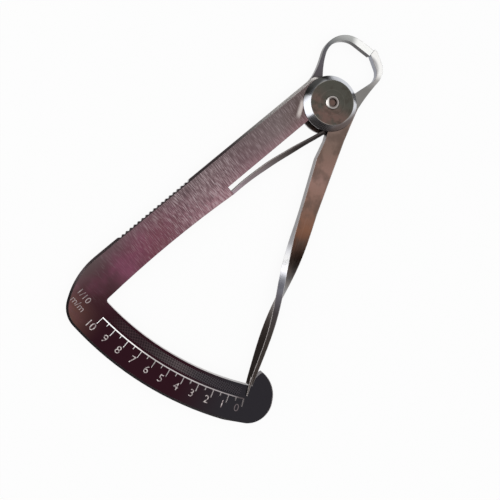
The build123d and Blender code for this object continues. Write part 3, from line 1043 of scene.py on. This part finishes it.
@dataclass
class Hub:
    """Front and rear discs on the pivot rivet."""

    front: TurnedSteel = TurnedSteel("steel_turned_front")
    rear: TurnedSteel = TurnedSteel("steel_turned_rear", face_tone="#6A6460")
    rivet: PolishedRivetSteel = PolishedRivetSteel()

    def build(self, nodes: dict[str, bpy.types.Object]) -> None:
        """Dresses the discs and the rivet.

        Args:
            nodes: The frame's nodes by name.
        """
        dress(nodes["front_disc"], self.front.material())
        dress(nodes["rear_disc"], self.rear.material())
        dress(nodes["pivot_rivet"], self.rivet.material())


@dataclass
class LeafSpring:
    """Leaf that grows out of the leg beside the slot and leans on the pointer's side."""

    root: tuple[float, float] = (-19.557, -32.331)
    heading: float = 56.328
    lean: float = 13.0
    chord: float = 31.54
    end_cap: float = 0.55
    root_run: float = 0.62
    low_level: float = 1.3
    high_level: float = 3.72
    root_low: float = 1.0
    root_high: float = 3.94
    root_taper: float = 4.0
    flex_run: float = 12.0
    # Run, stray toward the leg and width at places along the filed leaf
    filed: tuple[Place, ...] = (
        (-0.62, 0.0, 1.1), (5.0, 0.12, 1.35), (13.0, 0.08, 1.62),
        (20.0, -0.08, 1.55), (27.0, -0.1, 1.25), (32.5, 0.0, 1.1),
    )
    ridge_share: float = 0.6
    ridge_drop: float = 0.25
    edge_round: float = 0.05
    tip_share: float = 0.02
    stations: int = 60
    # Above 1, the stations crowd toward the tip
    crowding: float = 1.6
    finish: FiledSpringSteel = FiledSpringSteel()

    @property
    def bend(self) -> float:
        """Radius of the leaf's middle line."""
        return self.chord / (2 * math.sin(math.radians(self.lean) / 2))

    @property
    def length(self) -> float:
        """Length of the leaf with its rounded end."""
        return self.bend * math.radians(self.lean) + self.end_cap

    def station(self, run: float) -> tuple[Vector, Vector]:
        """Finds a place on the leaf's middle line.

        Args:
            run: Distance from the root along the line, below zero in the leg's direction.

        Returns:
            The place and the unit direction there.
        """
        start = math.radians(self.heading)
        turned = max(run, 0.0) / self.bend
        across, along = self.bend * math.sin(start), self.bend * math.cos(start)
        middle = Vector((self.root[0] + across, self.root[1] - along))
        place = middle + self.bend * Vector((-math.sin(start - turned), math.cos(start - turned)))
        course = Vector((math.cos(start - turned), math.sin(start - turned)))
        return place + course * min(run, 0.0), course

    def filed_at(self, run: float) -> tuple[float, float]:
        """Reads the filed shape at a place.

        Args:
            run: Distance from the root along the line.

        Returns:
            Stray toward the leg and width there.
        """
        for before, after in zip(self.filed, self.filed[1:]):
            if run <= after[0]:
                share = max(0.0, (run - before[0]) / (after[0] - before[0]))
                share = share * share * (3 - 2 * share)
                return tuple(a + (b - a) * share for a, b in zip(before[1:], after[1:]))
        return self.filed[-1][1:]

    def section(self, run: float) -> list[Vector]:
        """Makes the corners of the two-sloped section at a station.

        Args:
            run: Distance from the root along the line.

        Returns:
            Eight corners in metres, in order round the section.
        """
        place, course = self.station(run)
        stray, width = self.filed_at(run)
        side = Vector((-course.y, course.x))
        place = place + side * stray
        share = min(1.0, max(0.0, run / self.root_taper))
        low = self.root_low + (self.low_level - self.root_low) * share
        high = self.root_high + (self.high_level - self.root_high) * share
        past = max(0.0, run - (self.length - self.end_cap)) / self.end_cap
        half = width / 2 * math.sqrt(max(self.tip_share, 1 - past * past))
        soft = min(self.edge_round, half * 0.5)
        ridge = half * (2 * self.ridge_share - 1)
        corners = (
            (-half, low + soft), (-half + soft, low), (half - soft, low), (half, low + soft),
            (half, high - soft), (half - soft, high), (ridge, high), (-half, high - self.ridge_drop * share),
        )
        return [Vector((*(place + side * across), level)) * METRES for across, level in corners]

    def build(self) -> None:
        """Sweeps the leaf, closes its ends, dresses it and hides the frame's own leaf."""
        shape = bmesh.new()
        rings = []
        for step in range(self.stations + 1):
            share = step / self.stations
            run = -self.root_run + (self.length + self.root_run) * (1 - (1 - share) ** self.crowding)
            rings.append([shape.verts.new(corner) for corner in self.section(run)])
        for before, after in zip(rings, rings[1:]):
            for i in range(len(before)):
                j = (i + 1) % len(before)
                shape.faces.new((before[i], before[j], after[j], after[i]))
        shape.faces.new(rings[0])
        shape.faces.new(rings[-1])
        leaf = mesh_piece("leaf_blade", shape, "")
        dress(leaf, self.finish.material())
        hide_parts("leaf_spring")
        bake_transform(leaf)


@dataclass
class Studio:
    """Pale floor, soft lamps and the camera."""

    camera_place: Place = (-52.84, -51.92, 197.07)
    camera_right: Place = (0.93604368, 0.28051321, 0.212449)
    camera_up: Place = (-0.27938203, 0.95950628, -0.03596348)
    camera_back: Place = (-0.21393438, -0.02569105, 0.97651014)
    lens: float = 50.4
    sensor: float = 36.0
    clip_start: float = 0.01
    floor_half: float = 1500.0
    floor_level: float = -0.02
    floor_cells: int = 24
    # Name, place, size across and up, watts
    lamps: tuple[tuple[str, Place, Limits, float], ...] = (
        ("lamp_overhead", (60.0, -40.0, 1000.0), (1600.0, 1600.0), 6.4),
        ("lamp_left", (-632.0, -200.0, 165.0), (840.0, 280.0), 1.15),
        ("lamp_right", (560.0, 160.0, 260.0), (260.0, 260.0), 0.25),
    )
    lamp_aim: Place = (-22.0, -40.0, 0.0)
    horizon_level: float = 0.08
    world_level: float = 0.42
    # Sines of the heights between which the room brightens from one to the other
    world_limits: Limits = (0.1, 0.55)
    paper: PaperSweep = PaperSweep()

    def floor(self) -> None:
        """Lays the floor as a flat grid, a hair below the gauge."""
        shape = bmesh.new()
        cells, size = self.floor_cells, self.floor_half * METRES
        lowered = Matrix.Translation((0.0, 0.0, self.floor_level * METRES))
        bmesh.ops.create_grid(shape, x_segments=cells, y_segments=cells, size=size, matrix=lowered)
        mesh = bpy.data.meshes.new("floor")
        shape.to_mesh(mesh)
        shape.free()
        sheet = add_object("floor", mesh)
        dress(sheet, self.paper.material())

    def light(self) -> None:
        """Hangs the lamps, each aimed at the middle of the object."""
        aim = Vector(self.lamp_aim)
        for name, place, size, watts in self.lamps:
            lamp = bpy.data.lights.new(name, "AREA")
            lamp.shape = "RECTANGLE"
            lamp.size, lamp.size_y = size[0] * METRES, size[1] * METRES
            lamp.energy = watts
            holder = add_object(name, lamp)
            holder.location = Vector(place) * METRES
            holder.rotation_euler = (Vector(place) - aim).to_track_quat("Z", "Y").to_euler()

    def surroundings(self) -> None:
        """Gives the world a plain grey, darker near the horizon, and white where the camera sees it."""
        world = bpy.data.worlds.new("studio")
        world.use_nodes = True
        tree = world.node_tree
        tree.nodes.clear()
        way = add_node(tree, "TexCoord")
        sides = add_node(tree, "SeparateXYZ", {}, {0: way.outputs["Generated"]})
        low, high = self.world_limits
        limits = {"Value": sides.outputs[2], "From Min": low, "From Max": high}
        limits |= {"To Min": self.horizon_level, "To Max": self.world_level}
        room = add_node(tree, "MapRange", {"interpolation_type": "SMOOTHSTEP"}, limits)
        path = add_node(tree, "LightPath")
        seen = {"Value": path.outputs["Is Camera Ray"], "To Min": room.outputs[0], "To Max": 1.0}
        level = add_node(tree, "MapRange", {}, seen)
        sky = add_node(tree, "Background", {}, {"Color": linear("#FFFFFF"), "Strength": level.outputs[0]})
        add_node(tree, "OutputWorld", {}, {0: sky.outputs[0]})
        bpy.context.scene.world = world

    def camera(self) -> None:
        """Sets the camera at the photograph's viewpoint."""
        lens = bpy.data.cameras.new("camera")
        lens.lens, lens.sensor_width = self.lens, self.sensor
        lens.clip_start = self.clip_start
        camera = add_object("camera", lens)
        axes = Matrix((self.camera_right, self.camera_up, self.camera_back)).transposed().to_4x4()
        camera.matrix_world = Matrix.Translation(Vector(self.camera_place) * METRES) @ axes
        bpy.context.scene.camera = camera

    def build(self) -> None:
        """Builds the whole studio."""
        self.camera()
        self.floor()
        self.light()
        self.surroundings()
        bpy.context.scene.view_settings.view_transform = "Standard"
        LOG.info("built the studio")


def corners(box: Any) -> list[list[float]]:
    """Writes a box as two plain lists."""
    return [[float(number) for number in corner] for corner in box]


def main() -> None:
    """Loads the frame and builds every sub-assembly in order."""
    logging.basicConfig(level=logging.INFO, format="%(name)s: %(message)s")
    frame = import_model()
    ScaleArm().build(frame["nodes"])
    PointerArm().build(frame["nodes"])
    Hub().build(frame["nodes"])
    LeafSpring().build()
    Studio().build()


if __name__ == "__main__":
    main()
